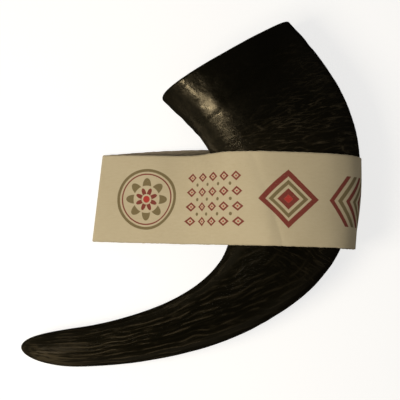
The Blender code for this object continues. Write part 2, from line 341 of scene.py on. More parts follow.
def skin_section(s, angle):
    """Across and height of the horn's outside."""
    _, half, thick, lift = station(s)
    age = np.clip(s / HORN_LENGTH, 0.0, 1.0)
    nose = np.clip(1.0 - (HORN_LENGTH - s) / NOSE_LENGTH, 0.0, 1.0)
    rounding = np.sqrt(1.0 - nose**2)
    equator = EQUATOR_AT_BASE + (EQUATOR_AT_TIP - EQUATOR_AT_BASE) * age
    upper = np.sin(angle) >= 0
    squareness = np.where(upper, SQUARENESS_UPPER, SQUARENESS_UNDER)
    squareness = squareness + (SQUARENESS_TIP - squareness) * age
    depth = thick * np.where(upper, 1 - equator, equator)
    side = superellipse(angle, 1.0, 1.0, squareness)[0]
    across, up = superellipse(angle, half * rounding, depth * rounding, squareness)
    crest = -CREST_LEAN * (1 - smooth_step(s, *CREST_FADE))
    lean = np.where(upper, crest, KEEL_LEAN * (1 - age))
    return across, lift + thick * equator + up * (1 + lean * side)


def hollow_section(s, angle):
    """Across and height of the hollow's wall."""
    _, half, thick, lift = station(s)
    shrink = np.sqrt(1.0 - np.clip(s / HOLLOW_DEPTH, 0.0, 1.0) ** HOLLOW_TAPER)
    half_height = (thick / 2 - RIM_WALL_FACE) * shrink
    half_width = (half - RIM_WALL_SIDE) * shrink
    across, up = superellipse(angle, half_width, half_height, HOLLOW_SQUARENESS)
    return across, lift + thick / 2 + up


# ---- the saw cut ------------------------------------------------------------------------
def past_cut(points):
    """How far points lie outside the plane of the saw cut, and the way that plane looks."""
    direction = np.array((np.cos(radians(SAW_DIRECTION)), np.sin(radians(SAW_DIRECTION)), 0.0))
    return (points - np.array((*BASE_MIDDLE, 0.0)) - WORKING_POINT) @ direction, direction


def onto_cut(points):
    """Points moved onto the plane of the saw cut."""
    beyond, direction = past_cut(points)
    return points - beyond[:, None] * direction


def cut_start(section, angle):
    """The distance along the horn at which each line of a surface meets the saw cut."""
    low, high = np.full_like(angle, -OVERRUN), np.full_like(angle, OVERRUN)
    for _ in range(CUT_HALVINGS):
        middle = (low + high) / 2
        outside = past_cut(place(middle, *section(middle, angle)))[0] > 0
        low, high = np.where(outside, middle, low), np.where(outside, high, middle)
    return (low + high) / 2


# ---- relief of the horn -----------------------------------------------------------------
def field(points, size, seed=0.0):
    """Smooth noise from about -1 to 1, with features about so many millimetres across on each
    axis. Each seed gives other noise."""
    return np.array([noise.noise(p) for p in (points / size + seed).tolist()]) * NOISE_REACH


def ridged(points, size, seed=0.0):
    """Noise with sharp crests at 1 and broad hollows down to about -1."""
    return 1.0 - 2.0 * np.abs(field(points, size, seed))


def wound(grain):
    """The straightened horn with its fibres unwound, so that they run along the third axis."""
    turn = TWIST * smooth_step(grain[:, 2], TWIST_FROM, TWIST_TO)
    spread = (TRUE_SPACING / station(grain[:, 2])[1]) ** SPREADING
    across = (grain[:, 0] * np.cos(turn) + grain[:, 1] * np.sin(turn)) * spread
    up = (grain[:, 1] * np.cos(turn) - grain[:, 0] * np.sin(turn)) * spread
    return np.stack((across, up, grain[:, 2]), axis=1)


def skin_lines(grain):
    """Two values: the rings run where the first is zero, and the strands where the second is."""
    sway = field(grain, SWAY_SIZE, 3.1)
    skewed = grain.copy()
    skew = np.interp(grain[:, 2], RING_SKEW_AT, RING_SKEW)
    skewed[:, 2] += skew * grain[:, 0] + RING_SWAY * sway
    unwound = wound(grain)
    strands = STRAND_PAIRS * np.arctan2(unwound[:, 1], unwound[:, 0]) + STRAND_SWAY * sway
    strands = np.sin(strands + STRAND_KINK * field(grain, KINK_SIZE, 5.9))
    return field(skewed, RING_SIZE, 11.7), strands


def skin_relief(grain, lines, side, settings):
    """Height of the outside over its smooth shape, in millimetres."""
    s = grain[:, 2]
    lumps = field(grain, LUMP_SIZE)
    dents = field(grain, DENT_SIZE, 44.07)
    groove = np.exp(-((s - GROOVE_AT) / GROOVE_REACH) ** 2)
    rings = 1.0 - 2.0 * np.abs(lines[0])
    strands = smooth_step(-np.abs(lines[1]), -STRAND_EDGE, 0.0)
    narrow = smooth_step(s, *NARROWING)
    inner = smooth_step(-side, 0.25, 0.9)
    ringed = np.maximum(0.25 * inner, smooth_step(s, *RING_RISE))
    return (
        settings.lump_height * lumps * (1 - 0.75 * narrow)
        + settings.dent_height * dents * (1 - 0.85 * narrow)
        - settings.groove_depth * groove
        + settings.ring_height * rings * (0.10 + 0.90 * ringed) * (1 - narrow)
        + settings.strand_height * strands * narrow
    ) / MM


def outward_normals(rows):
    """Unit normals of a wrapped sheet of points, away from the middle of each ring."""
    along = np.gradient(rows, axis=0)
    around = np.roll(rows, -1, axis=1) - np.roll(rows, 1, axis=1)
    normal = np.cross(along, around)
    normal /= np.maximum(np.linalg.norm(normal, axis=2, keepdims=True), 1e-9)
    from_middle = rows - rows.mean(axis=1, keepdims=True)
    return normal * np.sign((normal * from_middle).sum(axis=2, keepdims=True))


# ---- the horn's sheet of rows -----------------------------------------------------------
def ring_angles():
    return np.linspace(0.0, 2 * pi, SIDES, endpoint=False)


def surface_rows(section, distances):
    """Places and grain of a wrapped surface: rows of points, from distances off the cut."""
    angle = ring_angles()
    start = cut_start(section, angle)
    places, grain = [], []
    for distance in distances:
        s = np.minimum(distance + start * max(0.0, 1 - distance / CUT_FADE) ** 2, HORN_LENGTH)
        across, height = section(s, angle)
        _, _, thick, lift = station(s)
        places.append(place(s, across, height))
        grain.append(np.stack((across, height - lift - thick / 2, s), axis=1))
    return np.array(places), np.array(grain)


def skin_distances(edge):
    """Distances of the outside's rows from the cut, tip first, with a worn edge at the last."""
    turns = np.linspace(0.0, pi / 2, NOSE_ROWS, endpoint=False)
    nose = [HORN_LENGTH - NOSE_LENGTH * (1 - cos(turn)) for turn in turns]
    body = np.linspace(HORN_LENGTH - NOSE_LENGTH, edge, round(HORN_LENGTH / SKIN_STEP))
    return nose + list(body) + [0.0]


def worn_edge(before, corner, after):
    """Rows that round a corner off, between a row before it and a row after it."""
    shares = np.linspace(0.0, 1.0, EDGE_ROWS + 2)[1:-1]
    return [before * (1 - q) ** 2 + corner * 2 * q * (1 - q) + after * q**2 for q in shares]


def towards(start, end, distance):
    """Points at a distance from the start of each line, on the way to its end."""
    gap = end - start
    return start + gap / np.linalg.norm(gap, axis=1, keepdims=True) * distance


def horn_sheet(settings):
    """All rows of the horn from its tip, over the outside and the rim, into the hollow."""
    wear = settings.edge_wear / MM
    skin, skin_grain = surface_rows(skin_section, skin_distances(wear))
    side = np.tile(np.cos(ring_angles()), len(skin))
    flat_grain = skin_grain.reshape(-1, 3)
    relief = skin_relief(flat_grain, skin_lines(flat_grain), side, settings)
    relief = relief.reshape(len(skin), SIDES, 1)
    relief *= smooth_step(np.arange(len(skin)), 0, NOSE_ROWS / 3)[:, None, None]
    skin = skin + outward_normals(skin) * relief

    depths = HOLLOW_DEPTH * np.linspace(0.0, 1.0, HOLLOW_ROWS) ** 1.5
    wall, wall_grain = surface_rows(hollow_section, depths)
    flat_grain = wall_grain.reshape(-1, 3)
    pits = ridged(flat_grain, PIT_SIZE, 4.4) * PIT_DEPTH
    pits += field(flat_grain, HOLLOW_LUMP_SIZE, 8.8) * HOLLOW_LUMPS
    pits = pits.reshape(len(wall), SIDES, 1) * (1 - (depths / HOLLOW_DEPTH) ** 4)[:, None, None]
    wall = wall + outward_normals(wall) * pits

    outer, inner = onto_cut(skin[-1]), onto_cut(wall[0])
    rim_from, rim_to = towards(outer, inner, wear), towards(inner, outer, wear / 2)
    shares = np.linspace(0.0, 1.0, RIM_ROWS)
    rim = [rim_from * (1 - q) + rim_to * q for q in shares]
    rows = [*skin[:-1], *worn_edge(skin[-2], outer, rim_from), *rim]
    rows += [*worn_edge(rim_to, inner, wall[1]), *wall[1:]]

    rim_count = len(rows) - len(skin) + 1 - len(wall) + 1
    blend = np.linspace(0.0, 1.0, rim_count)[:, None, None]
    grain = np.vstack((skin_grain[:-1], skin_grain[-1] * (1 - blend) + wall_grain[0] * blend,
                       wall_grain[1:]))
    layer = np.concatenate((np.zeros(len(skin) - 1), blend.ravel(), np.ones(len(wall) - 1)))
    parts = [0] * (len(skin) - 1 + EDGE_ROWS // 2) + [1] * (rim_count - EDGE_ROWS)
    parts += [2] * (len(rows) - len(parts))
    return np.array(rows), grain, layer, parts


# ---- meshes -----------------------------------------------------------------------------
def wrap_grid(rows, values, parts, closed):
    """A grid of faces laid onto rows of points. values are point attributes by name, and parts
    gives the material of each row of faces. A closed grid is welded where its ends meet."""
    count, sides = rows.shape[:2]
    columns = sides if closed else sides - 1
    bm = bmesh.new()
    layers = {
        name: (bm.verts.layers.float_vector if value.ndim == 3 else bm.verts.layers.float).new(name)
        for name, value in values.items()
    }
    bmesh.ops.create_grid(bm, x_segments=columns, y_segments=count - 1, size=GRID_HALF)
    for face in bm.faces:
        face.smooth = True
        face.material_index = parts[int((face.calc_center_median().y + GRID_HALF) * (count - 1))]
    for vert in bm.verts:
        column = round((vert.co.x + GRID_HALF) * columns) % sides
        row = round((vert.co.y + GRID_HALF) * (count - 1))
        vert.co = Vector(rows[row, column]) * MM
        for name, layer in layers.items():
            value = values[name][row, column]
            vert[layer] = Vector(value) if values[name].ndim == 3 else float(value)
    if closed:
        bmesh.ops.remove_doubles(bm, verts=bm.verts[:], dist=1e-6)
        bmesh.ops.recalc_face_normals(bm, faces=bm.faces[:])
    return bm


def add_object(name, data):
    """Puts a mesh, lamp or camera into the scene."""
    made = bpy.data.objects.new(name, data)
    bpy.context.scene.collection.objects.link(made)
    return made


def add_mesh(name, bm, materials):
    """Makes an object of a bmesh and its materials."""
    mesh = bpy.data.meshes.new(name)
    bm.to_mesh(mesh)
    bm.free()
    for material in materials:
        mesh.materials.append(material)
    return add_object(name, mesh)


def finished_piece(name, bm, materials, node):
    """Makes an object of a mesh, which stands for a node of the frame and rides with it."""
    piece = add_mesh(name, bm, materials)
    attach(piece, "root")
    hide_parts(node)
    return piece


# ---- the sleeve's sheet of rows ---------------------------------------------------------
def fold_arc(first):
    """The end fold, as an arc down to the first point of the layer on the table."""
    centre = np.array([first[0] - CARD, CARD / 2 + FOLD_RADIUS])
    turns = np.linspace(pi / 2, 3 * pi / 2, FOLD_STEPS)
    return centre + FOLD_RADIUS * np.stack((np.cos(turns), np.sin(turns)), axis=1)


def sleeve_row(share):
    """One line of the strip, at a share of its width: x, y, z and distance from the fold."""
    steps = np.hypot(*np.diff(SLEEVE_PATH[:, :2], axis=0).T)
    knots = np.concatenate(([0.0], np.cumsum(steps)))
    lap_from = LAP_START - SLEEVE_PATH[0][0]
    lap_to = lap_from + LAP
    around = np.linspace(lap_from, knots[-1], round((knots[-1] - lap_from) / SLEEVE_STEP))
    below = np.linspace(0.0, lap_to, round(lap_to / SLEEVE_STEP))
    path = SLEEVE_PATH[:, :2] * (1 - share) + SLEEVE_PATH[:, 2:] * share
    push = np.clip((path[:, 0] - path[:, 0].max() + BULGE_REACH) / BULGE_REACH, 0.0, 1.0)
    path[:, 0] += BULGE * np.sin(pi * min(share / BULGE_SHARE, 1.0)) * push
    upper, under = curve_through(knots, path, around), curve_through(knots, path, below)
    for points in (upper, under):
        points[:, 1] = np.maximum(points[:, 1], CARD / 2)
    lift = (CARD + LAP_GAP) * (1 - smooth_step(around, lap_to, lap_to + LAP_RAMP))
    upper[:, 1] += lift
    line = np.vstack((upper, fold_arc(under[0]), under))
    nose_mark = knots[np.argmax(SLEEVE_PATH[:, 0])]
    on_table = np.concatenate((around < nose_mark, [False] * FOLD_STEPS, [True] * len(below)))
    along = line[:, 0] - line[:, 0].min()
    depth = FOLD_Y - SLEEVE_HEIGHT * share + along * tan(radians(FRONT_SKEW))
    depth += on_table * BACK_RISE * np.sin(pi * along / along.max())
    points = np.stack((line[:, 0], depth, line[:, 1]), axis=1) + WORKING_POINT
    gaps = np.linalg.norm(np.diff(points, axis=0), axis=1)
    travelled = np.concatenate(([0.0], np.cumsum(gaps)))
    return points, travelled[len(upper) + FOLD_STEPS // 2] - travelled


def sleeve_sheet(settings):
    """Rows of points across the strip, and its flat coordinates: along from the fold, across."""
    shares = np.linspace(0.0, 1.0, SLEEVE_ROWS + 1)
    lines = [sleeve_row(share) for share in shares]
    rows = np.array([points for points, _ in lines])
    along = np.array([from_fold for _, from_fold in lines]).mean(axis=0)
    wear = settings.corner_wear / MM
    back = wear - np.sqrt(wear**2 - np.clip(wear - np.abs(along), 0.0, wear) ** 2)
    middle = rows[[len(rows) // 2]]
    rows = middle + (rows - middle) * (1 - 2 * back / SLEEVE_HEIGHT)[None, :, None]
    flat = np.zeros_like(rows)
    flat[..., 0] = along
    flat[..., 1] = SLEEVE_HEIGHT * (1 - shares)[:, None]
    waves = field(flat.reshape(-1, 3), WAVE_SIZE, 6.2).reshape(rows.shape[:2])
    off_table = smooth_step(rows[..., 2], *OFF_TABLE)
    normal = np.cross(np.gradient(rows, axis=0), np.gradient(rows, axis=1))
    normal /= np.linalg.norm(normal, axis=2, keepdims=True)
    relief = waves * settings.ripple / MM
    for near_tip, near_base, height in CREASES:
        line = near_tip + (near_base - near_tip) * flat[..., 1] / SLEEVE_HEIGHT
        relief += height * np.exp(-np.abs(flat[..., 0] - line) / CREASE_REACH)
    rows = rows + normal * (relief * off_table)[..., None]
    for edge, inward in ((0, 1), (-1, -2)):
        fray = field(flat[edge] + 31.0 * inward, FRAY_SIZE, 9.3) * FRAY
        across = rows[inward] - rows[edge]
        rows[edge] += across / np.linalg.norm(across, axis=1, keepdims=True) * fray[:, None]
    return rows, flat


# ---- materials --------------------------------------------------------------------------
class Nodes:
    """A node tree, with short ways of adding the nodes that the finishes and the light use."""

    def __init__(self, tree):
        self.tree = tree

    def set(self, socket, value):
        if isinstance(value, bpy.types.NodeSocket):
            self.tree.links.new(value, socket)
        elif hasattr(value, "__len__") and len(value) == 3 and socket.type == "RGBA":
            socket.default_value = (*value, 1.0)
        else:
            socket.default_value = value

    def node(self, kind, inputs, **settings):
        made = self.tree.nodes.new(kind)
        for name, value in settings.items():
            setattr(made, name, value)
        for key, value in inputs.items():
            self.set(made.inputs[key], value)
        return made

    def attribute(self, name, output="Vector"):
        return self.node("ShaderNodeAttribute", {}, attribute_name=name).outputs[output]

    def math(self, operation, *values, clamp=False):
        inputs = dict(enumerate(values))
        return self.node("ShaderNodeMath", inputs, operation=operation, use_clamp=clamp).outputs[0]

    def split(self, vector):
        return self.node("ShaderNodeSeparateXYZ", {0: vector}).outputs

    def join(self, x, y, z):
        return self.node("ShaderNodeCombineXYZ", {0: x, 1: y, 2: z}).outputs[0]

    def scaled(self, vector, scale):
        """A vector for noise that is stretched along the axes with a small scale."""
        inputs = {"Vector": vector, "Scale": scale}
        return self.node("ShaderNodeMapping", inputs).outputs[0]

    def noise(self, vector, scale=1.0, detail=3.0, roughness=0.55, distortion=0.0):
        inputs = {"Vector": vector, "Scale": scale, "Detail": detail, "Roughness": roughness,
                  "Distortion": distortion}
        return self.node("ShaderNodeTexNoise", inputs).outputs["Fac"]

    def ramp(self, value, low, high, to_low=0.0, to_high=1.0):
        """A smooth change from one number to another, while a value goes from low to high."""
        inputs = {"Value": value, "From Min": low, "From Max": high, "To Min": to_low,
                  "To Max": to_high}
        return self.node("ShaderNodeMapRange", inputs, interpolation_type="SMOOTHSTEP").outputs[0]

    def mix(self, share, first, second):
        made = self.node("ShaderNodeMix", {"Factor": share}, data_type="RGBA")
        colours = [socket for socket in made.inputs if socket.type == "RGBA"]
        for socket, colour in zip(colours, (first, second)):
            self.set(socket, colour)
        return next(socket for socket in made.outputs if socket.type == "RGBA")

    def times(self, *values):
        """The product of values."""
        made = values[0]
        for value in values[1:]:
            made = self.math("MULTIPLY", made, value)
        return made

    def either(self, *values):
        """The highest of values, so that a mark shows where any of them does."""
        made = values[0]
        for value in values[1:]:
            made = self.math("MAXIMUM", made, value)
        return made

    def centred(self, value):
        """Noise round 0.5, moved to lie round zero."""
        return self.math("SUBTRACT", value, 0.5)

    def line(self, value, width):
        """1 where a value passes through zero, falling to 0 on both sides."""
        return self.ramp(self.math("ABSOLUTE", value), 0.0, width, 1.0, 0.0)

    def light(self, tint, strength):
        inputs = {"Color": tint, "Strength": strength}
        return self.node("ShaderNodeBackground", inputs).outputs[0]

    def bump(self, height, distance, strength=1.0, normal=None):
        inputs = {"Height": height, "Distance": distance, "Strength": strength}
        if normal is not None:
            inputs["Normal"] = normal
        return self.node("ShaderNodeBump", inputs).outputs[0]


class Finish(Nodes):
    """A material being made."""

    def __init__(self, name):
        self.material = bpy.data.materials.new(name)
        self.material.use_nodes = True
        super().__init__(self.material.node_tree)
        self.shader = self.tree.nodes["Principled BSDF"]

    def surface(self, **sockets):
        for name, value in sockets.items():
            label = name.replace("_", " ").title().replace("Ior", "IOR")
            self.set(self.shader.inputs[label], value)
        return self.material


class HornSkin(Finish):
    """Dense dark horn: black and polished at the base, with thin pale rings and strands."""

    def __init__(self, name):
        super().__init__(name)
        self.grain = self.attribute("grain")
        self.fibre = self.attribute("fibre")
        self.side = self.attribute("side", "Fac")
        self.distance = self.split(self.grain)[2]
        self.narrow = self.along(*NARROWING)
        self.inner = self.ramp(self.side, -0.35, -0.85)    # the inside of the curl
        self.outer = self.ramp(self.side, 0.15, 0.7)       # the outside of the curl
        self.fine_strand = self.streaks(self.fibre, (0.85, 0.85, 0.035), 0.5, 0.2)
        self.blotches = self.noise(self.grain, 0.07, 3.0, 0.55)
        self.mottle = self.noise(self.grain, 0.32, 3.0, 0.65)
        self.polish = self.belt((9.0, 14.0), (16.5, 20.0))

    def along(self, low, high, to_low=0.0, to_high=1.0):
        """A smooth change between two distances from the saw cut, in millimetres."""
        return self.ramp(self.distance, low, high, to_low, to_high)

    def belt(self, rise, fall, height=1.0):
        """A belt round the horn that comes in over one range of distances and ends over another."""
        return self.times(self.along(*rise, 0.0, height), self.along(*fall, 1.0, 0.0))

    def streaks(self, vector, scale, roughness, distortion=0.0):
        return self.noise(self.scaled(vector, scale), 1.0, 2.0, roughness, distortion)

    def rings(self):
        """The growth rings, broken by gaps, and faint at the base inside the curl."""
        fine_ring = self.streaks(self.grain, (0.09, 0.09, 0.95), 0.5, 0.2)
        gaps = self.streaks(self.grain, (0.15, 0.15, 0.60), 0.6)
        rings = self.either(
            self.line(self.attribute("ring", "Fac"), RING_EDGE),
            self.times(0.6, self.line(self.centred(fine_ring), FINE_EDGE)),
        )
        near_sleeve = self.along(23.0, 46.0, 0.03, 0.80)
        outside = self.times(self.outer, self.along(8.0, 30.0, 0.0, 0.60))
        share = self.times(
            self.either(near_sleeve, outside), self.math("SUBTRACT", 1.0, self.narrow)
        )
        return self.times(rings, self.ramp(gaps, 0.38, 0.60, 0.20, 1.0), share)

    def strands(self):
        """The strands along the narrow part, broken by gaps, fainter inside the curl."""
        gaps = self.streaks(self.fibre, (0.40, 0.40, 0.10), 0.6)
        strands = self.either(
            self.line(self.attribute("strand", "Fac"), STRAND_EDGE),
            self.times(0.5, self.line(self.centred(self.fine_strand), FINE_EDGE)),
        )
        share = self.times(
            self.narrow,
            self.along(110.0, 195.0, 0.30, 0.90),
            self.math("MULTIPLY_ADD", self.inner, -0.35, 1.0),
        )
        return self.times(strands, self.ramp(gaps, 0.42, 0.60, 0.10, 1.0), share)

    def colour(self, colours, lines):
        """Black washed with brown, with pale lines, and a pale patch at the tip that is partly wear
        and partly a painted highlight.
        """
        black, brown, pale = (tuple(c) for c in (colours.black, colours.brown, colours.tan))
        inner_wash = self.times(
            self.inner,
            self.ramp(self.blotches, 0.3, 0.7, 0.55, 1.0),
            self.ramp(self.mottle, 0.36, 0.62, 0.35, 1.0),
            self.along(90.0, 130.0, 1.0, 0.4),
        )
        outer_wash = self.times(self.outer, self.along(6.0, 30.0, 0.0, 0.30))
        tip_wash = self.along(150.0, HORN_LENGTH, 0.0, 0.4)
        sleeve_wash = self.times(
            self.belt((30.0, 50.0), (70.0, 96.0), 0.75),
            self.ramp(self.side, 0.15, -0.45, 0.5, 1.0),
        )
        # The pale patch at the tip is partly real wear and partly a painted highlight, where the
        # tip shines.
        worn_tip_and_shine = self.times(
            self.along(190.0, 219.0),
            self.along(217.0, 226.0, 1.0, 0.2),
            self.ramp(self.side, -0.40, 0.40),
            self.ramp(self.fine_strand, 0.40, 0.60, 0.15, 1.3),
        )
        base = self.mix(self.either(inner_wash, outer_wash, tip_wash, sleeve_wash), black, brown)
        return self.mix(lines, self.mix(worn_tip_and_shine, base, pale), pale)

    def roughness(self, lines):
        """Smoother on the narrow part, and on the polished belt before the growth groove."""
        past_groove = self.belt((19.0, 24.0), (28.0, 40.0), 0.09)
        patchy = self.times(
            self.ramp(self.mottle, 0.32, 0.68, -0.06, 0.06), self.along(60.0, 100.0, 1.0, 0.4)
        )
        worn_tip_and_shine = self.along(180.0, 215.0, 0.0, 0.14)
        made = self.along(60.0, 100.0, 0.35, 0.21)
        for added in (worn_tip_and_shine, past_groove, patchy):
            made = self.math("ADD", made, added)
        made = self.math("MULTIPLY_ADD", self.polish, -0.06, made)
        made = self.math("MULTIPLY_ADD", self.centred(self.blotches), 0.10, made)
        return self.math("MULTIPLY_ADD", lines, 0.12, made, clamp=True)

    def bumps(self, lines):
        """Fine unevenness, fainter on the polished belt and the narrow part, and the lines."""
        grit = self.noise(self.grain, 0.42, 2.0, 0.5)
        strength = self.times(
            self.along(60.0, 110.0, 1.0, 0.4), self.math("MULTIPLY_ADD", self.polish, -0.75, 1.0)
        )
        return self.bump(lines, 0.00007, 0.8, self.bump(grit, 0.00021, strength))


def horn_skin(colours):
    """The horn's outside, whose lines show in its colour, its shine and its relief."""
    skin = HornSkin("horn_skin")
    lines = skin.either(skin.rings(), skin.strands())
    return skin.surface(
        base_color=skin.colour(colours, lines),
        roughness=skin.roughness(lines),
        normal=skin.bumps(lines),
    )


def sawn_face(colours):
    """Cut horn: scuffed saw lines over growth layers that follow the wall."""
    finish = Finish("sawn_face")
    grain = finish.attribute("grain")
    across, up, _ = finish.split(grain)
    wander = finish.math("MULTIPLY", finish.noise(grain, 0.12), LAYER_WANDER)
    depth = finish.attribute("layer", "Fac")               # 0 outside, 1 at the hollow
    layers = finish.math("SINE", finish.math("MULTIPLY_ADD", depth, LAYER_WAVES, wander))
    slanted = finish.math("MULTIPLY", finish.math("MULTIPLY_ADD", up, 0.5, across), 1.1)
    saw_lines = finish.join(slanted, finish.math("MULTIPLY", up, 0.07), 0.0)
    saw = finish.noise(saw_lines, 1.0, 5.0, 0.65)
    scuff = finish.ramp(saw, 0.42, 0.68)
    base = finish.mix(scuff, tuple(colours.black), tuple(colours.cut))
    base = finish.mix(finish.ramp(layers, 0.2, 1.0, 0.0, 0.30), base, tuple(colours.tan))
    normal = finish.bump(saw, 0.00030, 0.9)
    roughness = finish.ramp(saw, 0.3, 0.7, 0.45, 0.68)
    return finish.surface(base_color=base, roughness=roughness, normal=normal)


def hollow_wall(colours):
    """The inside of the sheath: dry, ridged lengthways and stained."""
    finish = Finish("hollow_wall")
    grain = finish.attribute("grain")
    ridges = finish.noise(finish.scaled(grain, (0.75, 0.75, 0.07)), 1.0, 4.0, 0.62, 0.4)
    stains = finish.noise(grain, 0.11, 4.0, 0.6)
    base = finish.mix(finish.ramp(ridges, 0.35, 0.68), tuple(colours.brown), tuple(colours.hollow))
    base = finish.mix(finish.ramp(stains, 0.42, 0.75, 0.0, 0.7), base, tuple(colours.brown))
    normal = finish.bump(ridges, 0.0005, 0.9)
    return finish.surface(base_color=base, roughness=0.82, normal=normal)


# ---- printing ---------------------------------------------------------------------------
class Print(Finish):
    """A finish with inked shapes, laid out in millimetres on the flat strip."""

    def __init__(self, name):
        super().__init__(name)
        self.flat = self.attribute("flat")
        along, across, _ = self.split(self.flat)
        bleed = self.noise(self.flat, 2.6, 2.0, 0.6)
        wander = self.math("MULTIPLY_ADD", bleed, INK_WANDER, -INK_WANDER / 2)
        self.u = self.math("ADD", along, wander)
        self.v = self.math("ADD", across, wander)

    def within(self, distance, limit):
        """1 where a distance is under a limit."""
        return self.ramp(distance, limit - INK_EDGE, limit + INK_EDGE, 1.0, 0.0)

    def band(self, value, low, high):
        """1 where a value lies between low and high."""
        middle = self.math("ABSOLUTE", self.math("SUBTRACT", value, (low + high) / 2))
        return self.within(middle, (high - low) / 2)

    def outline(self, distance, outer, inner):
        """1 where a distance is under the outer limit and not under the inner one."""
        return self.without(self.within(distance, outer), self.within(distance, inner))

    def bar(self, left, right, bottom, top):
        return self.times(self.band(self.u, left, right), self.band(self.v, bottom, top))

    def without(self, shape, hole):
        """A shape with a hole cut from it."""
        return self.math("MULTIPLY", shape, self.math("SUBTRACT", 1.0, hole))

    def offset(self, u, v):
        return self.math("SUBTRACT", self.u, u), self.math("SUBTRACT", self.v, v)

    def reach(self, du, dv):
        """Distance from a point, for a place so far along and across from it."""
        squares = self.math("ADD", self.math("MULTIPLY", du, du), self.math("MULTIPLY", dv, dv))
        return self.math("SQRT", squares)

    def ring(self, distance, radius, width):
        """1 on a round line of a given radius and width."""
        return self.band(distance, radius - width / 2, radius + width / 2)

    def lozenge(self, du, dv, half_width, half_height):
        """Zero in the middle of a lozenge, and its smaller half size along its edge."""
        across = self.math("DIVIDE", self.math("ABSOLUTE", du), half_width)
        up = self.math("DIVIDE", self.math("ABSOLUTE", dv), half_height)
        size = min(half_width, half_height)
        return self.math("MULTIPLY", self.math("ADD", across, up), size)

    def repeated(self, value, start, pitch):
        """Distance from the middle of the nearest of a row of repeats."""
        turned = self.math("DIVIDE", self.math("SUBTRACT", value, start), pitch)
        part = self.math("SUBTRACT", self.math("FRACT", self.math("ADD", turned, 0.5)), 0.5)
        return self.math("MULTIPLY", part, pitch)


def petals(ink, distance, wave, start, length):
    """Eight petals round a point, whose edge is at the start and reaches out by the length."""
    edge = ink.math("MULTIPLY_ADD", ink.math("ABSOLUTE", wave), length, start)
    return ink.within(ink.math("SUBTRACT", distance, edge), 0.0)


def medallion(ink, u, v):
    """A round flower between two rings: taupe parts, dark red parts and bright red parts."""
    du, dv = ink.offset(u, v)
    distance = ink.reach(du, dv)
    turn = ink.math("MULTIPLY", ink.math("ARCTAN2", dv, du), 4.0)
    outer_petals = petals(ink, distance, ink.math("COSINE", turn), 5.2, 4.6)
    inner_petals = petals(ink, distance, ink.math("SINE", turn), 2.0, 3.4)
    petal_ends = ink.without(outer_petals, ink.within(distance, 6.3))
    taupe = ink.either(ink.ring(distance, 13.4, 1.3), petal_ends)
    round_heart = ink.without(inner_petals, ink.within(distance, 2.4))
    dark = ink.either(ink.ring(distance, 11.6, 0.6), round_heart)
    bright = ink.within(distance, 1.6)
    return taupe, dark, bright


def lozenge_rows(ink, left, middle, columns, rows):
    """Rows of small lozenges with a dot between every four of them."""
    wide, high = 7.0, 6.6
    right, reach = left + columns * wide, rows * high / 2
    window = ink.bar(left, right, middle - reach, middle + reach)
    shape = ink.lozenge(ink.repeated(ink.u, left + wide / 2, wide),
                        ink.repeated(ink.v, middle - reach + high / 2, high), 3.0, 2.3)
    dark = ink.times(window, ink.outline(shape, 2.15, 1.15))
    hearts = ink.times(window, ink.within(shape, 0.5))
    inner = ink.bar(left + wide / 2, right - wide / 2,
                    middle - reach + high / 2, middle + reach - high / 2)
    between = ink.reach(ink.repeated(ink.u, left, wide), ink.repeated(ink.v, middle - reach, high))
    return ink.times(inner, ink.within(between, 0.75)), dark, hearts


def great_lozenge(ink, u, v):
    """A large lozenge in nested outlines round a bright red heart."""
    du, dv = ink.offset(u, v)
    shape = ink.lozenge(du, dv, 14.0, 13.4)
    dark = ink.either(ink.outline(shape, 12.6, 9.6), ink.within(shape, 4.6))
    taupe = ink.outline(shape, 8.2, 6.2)
    bright = ink.within(shape, 1.9)
    return ink.without(taupe, bright), ink.without(dark, bright), bright


def chevrons(ink, left, count, middle):
    """Nested arrows that point back to the fold, by turns dark red and taupe."""
    pitch, width, reach = 8.0, 2.2, 11.0
    rise = ink.math("ABSOLUTE", ink.math("SUBTRACT", ink.v, middle))
    slanted = ink.math("MULTIPLY_ADD", rise, -0.75, ink.u)
    window = ink.times(ink.within(rise, reach), ink.band(slanted, left, left + count * pitch))
    made = []
    for start in (left + pitch / 4, left + pitch * 3 / 4):
        near = ink.math("ABSOLUTE", ink.repeated(slanted, start, pitch))
        made.append(ink.times(window, ink.within(near, width / 2)))
    return made


def printed_inks(ink):
    """Where each of the three inks lies: taupe, dark red and bright red."""
    middle = SLEEVE_HEIGHT / 2
    motifs = (
        medallion(ink, MEDALLION_AT, middle),
        lozenge_rows(ink, ROWS_FROM, middle, 5, 4),
        great_lozenge(ink, GREAT_LOZENGE_AT, middle),
    )
    taupe, dark, bright = (list(parts) for parts in zip(*motifs))
    dark_chevrons, taupe_chevrons = chevrons(ink, CHEVRONS_FROM, 6, middle)
    dark.append(dark_chevrons)
    taupe.append(taupe_chevrons)
    return [ink.either(*parts) for parts in (taupe, dark, bright)]


def darker(tint, share):
    """A tint with each of its parts cut down to a share."""
    return tuple(part * share for part in tint)


